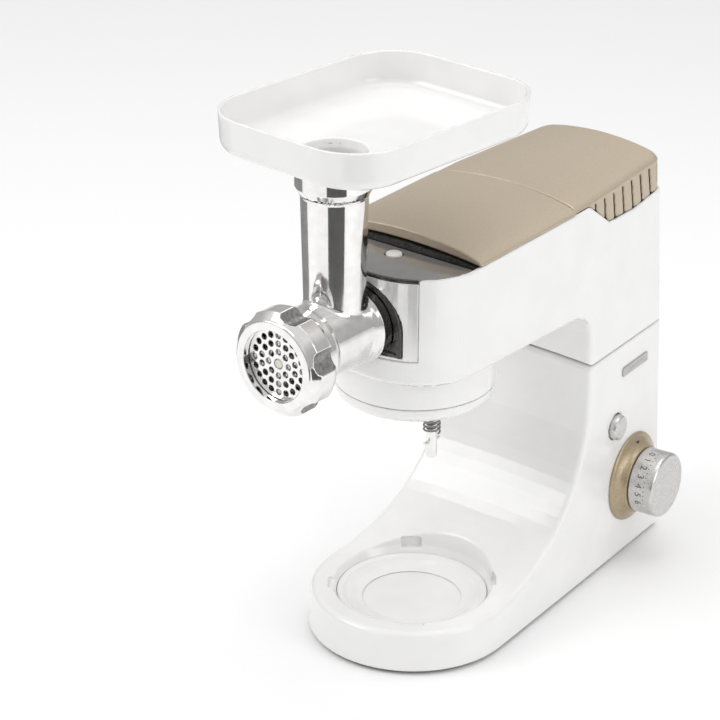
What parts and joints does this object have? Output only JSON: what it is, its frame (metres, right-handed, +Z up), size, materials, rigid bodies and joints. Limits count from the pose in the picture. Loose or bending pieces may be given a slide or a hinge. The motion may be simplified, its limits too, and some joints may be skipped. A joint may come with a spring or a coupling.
{
  "type": "electric meat grinder on a stand mixer",
  "caption": "White tilt-head kitchen machine with a polished meat grinder on its front hub, feed tray, gold covers and side speed dial.",
  "frame": {"origin": "on the table plane, under the vertical axis of the mixing bowl and planetary drive", "axes": "+Z up, -Y towards the hub and grinder, +X towards the speed dial"},
  "size_m": [0.1881, 0.445, 0.464],
  "materials": {
    "white_shell": "smooth gloss white, faint warm tint",
    "gold_cover": "satin champagne gold lacquer",
    "smoked_panel": "high-gloss smoked grey",
    "black_plastic": "gloss black moulding",
    "bezel": "bright silver lacquer",
    "polished_metal": "mirror-polished cast metal",
    "dark_steel": "plain machined steel",
    "satin_silver": "satin silver",
    "rubber": "matt dark rubber",
    "nylon": "natural moulded nylon",
    "copper": "copper windings with varnish",
    "board": "green circuit board",
    "strip": "brushed plain strip"
  },
  "bodies": {
    "stand": {"stand_shell": "white_shell", "base_plate": "white_shell", "foot_front_left": "rubber", "foot_front_right": "rubber", "foot_rear_left": "rubber", "foot_rear_right": "rubber", "base_screw_1": "dark_steel", "base_screw_2": "dark_steel", "bowl_seat_ring": "white_shell", "hinge_bracket": "dark_steel", "hinge_pin": "dark_steel", "dial_plate": "gold_cover", "speed_switch": "black_plastic", "release_spring": "dark_steel", "control_board": "board", "cord_gland": "rubber", "column_strip": "strip"},
    "head": {"head_shell": "white_shell", "hinge_sleeve": "dark_steel", "head_deck": "black_plastic", "front_panel": "smoked_panel", "hub_bezel": "bezel", "hub_frame": "black_plastic", "motor_stator": "dark_steel", "motor_bracket": "dark_steel", "drive_belt": "rubber", "main_bearing": "dark_steel", "hub_bearing": "dark_steel", "planet_ring": "white_shell", "ring_gear": "nylon"},
    "speed_control": {"speed_knob": "satin_silver", "speed_shaft": "dark_steel"},
    "release": {"release_button": "satin_silver"},
    "latch": {"latch_lever": "dark_steel"},
    "hub_release": {"hub_button": "white_shell"},
    "front_lid": {"front_cover": "gold_cover"},
    "rear_lid": {"rear_cover": "gold_cover"},
    "motor_rotor": {"motor_armature": "copper", "motor_pulley": "dark_steel", "rear_port_coupling": "nylon"},
    "idler": {"idler_shaft": "dark_steel", "idler_pulley": "nylon", "idler_pinion": "dark_steel"},
    "planetary": {"planet_carrier": "white_shell", "main_shaft": "dark_steel", "main_gear": "nylon", "main_bevel": "dark_steel"},
    "beater": {"beater_shaft": "polished_metal", "planet_pinion": "nylon", "beater_pin": "polished_metal", "beater_spring": "dark_steel"},
    "hub_drive": {"hub_bevel": "dark_steel", "hub_shaft": "dark_steel", "hub_socket": "dark_steel"},
    "grinder": {"grinder_housing": "polished_metal", "grinder_plate": "polished_metal"},
    "auger_body": {"auger": "nylon", "cutter_blade": "polished_metal"},
    "nut": {"ring_nut": "polished_metal"},
    "tray": {"feed_tray": "white_shell"}
  },
  "joints": [
    {"name": "head_tilt", "type": "hinge", "parent": "stand", "child": "head", "pos_m": [0, 0.254, 0.208], "axis": [-1, 0, 0], "range_deg": [0, 35]},
    {"name": "speed_turn", "type": "hinge", "parent": "stand", "child": "speed_control", "pos_m": [0.06736, 0.215, 0.0702], "axis": [0.9968, 0.0783, 0.014], "range_deg": [-30, 210]},
    {"name": "release_press", "type": "slide", "parent": "stand", "child": "release", "axis": [-0.9965, -0.0823, -0.0123], "range_m": [0, 0.004], "stiffness_N_per_m": 600, "springref_m": -0.001},
    {"name": "latch_swing", "type": "hinge", "parent": "stand", "child": "latch", "pos_m": [0.039, 0.185, 0.16], "axis": [0, 1, 0], "range_deg": [0, 7.2]},
    {"name": "hub_release_press", "type": "slide", "parent": "head", "child": "hub_release", "axis": [0, 0, -1], "range_m": [0, 0.003], "stiffness_N_per_m": 500, "springref_m": -0.001},
    {"name": "front_lid_lift", "type": "slide", "parent": "head", "child": "front_lid", "axis": [0, 0, 1], "range_m": [0, 0.03]},
    {"name": "rear_lid_lift", "type": "slide", "parent": "head", "child": "rear_lid", "axis": [0, 0, 1], "range_m": [0, 0.04]},
    {"name": "motor_spin", "type": "hinge", "parent": "head", "child": "motor_rotor", "pos_m": [0, 0.2, 0.25], "axis": [0, 0, 1], "continuous": true},
    {"name": "idler_spin", "type": "hinge", "parent": "head", "child": "idler", "pos_m": [0, 0.07, 0.29], "axis": [0, 0, 1], "continuous": true},
    {"name": "planetary_spin", "type": "hinge", "parent": "head", "child": "planetary", "pos_m": [0, 0, 0.24], "axis": [0, 0, 1], "continuous": true},
    {"name": "beater_spin", "type": "hinge", "parent": "planetary", "child": "beater", "pos_m": [0.02396, -0.00872, 0.2], "axis": [0, 0, 1], "continuous": true},
    {"name": "hub_spin", "type": "hinge", "parent": "head", "child": "hub_drive", "pos_m": [0, -0.04, 0.29], "axis": [0, -1, 0], "continuous": true},
    {"name": "grinder_pull", "type": "slide", "parent": "head", "child": "grinder", "axis": [0, -1, 0], "range_m": [0, 0.06]},
    {"name": "auger_spin", "type": "hinge", "parent": "grinder", "child": "auger_body", "pos_m": [0, -0.11, 0.29], "axis": [0, -1, 0], "continuous": true},
    {"name": "nut_pull", "type": "slide", "parent": "grinder", "child": "nut", "axis": [0, -1, 0], "range_m": [0, 0.04]},
    {"name": "tray_lift", "type": "slide", "parent": "grinder", "child": "tray", "axis": [0, 0, 1], "range_m": [0, 0.05]}
  ],
  "couplings": [
    {"joint": "latch_swing", "follows": "release_press", "rad_per_m": 30.543},
    {"joint": "idler_spin", "follows": "motor_spin", "ratio": 0.33333},
    {"joint": "planetary_spin", "follows": "motor_spin", "ratio": -0.074074},
    {"joint": "beater_spin", "follows": "motor_spin", "ratio": 0.18855},
    {"joint": "hub_spin", "follows": "motor_spin", "ratio": -0.074074},
    {"joint": "auger_spin", "follows": "motor_spin", "ratio": -0.074074}
  ]
}
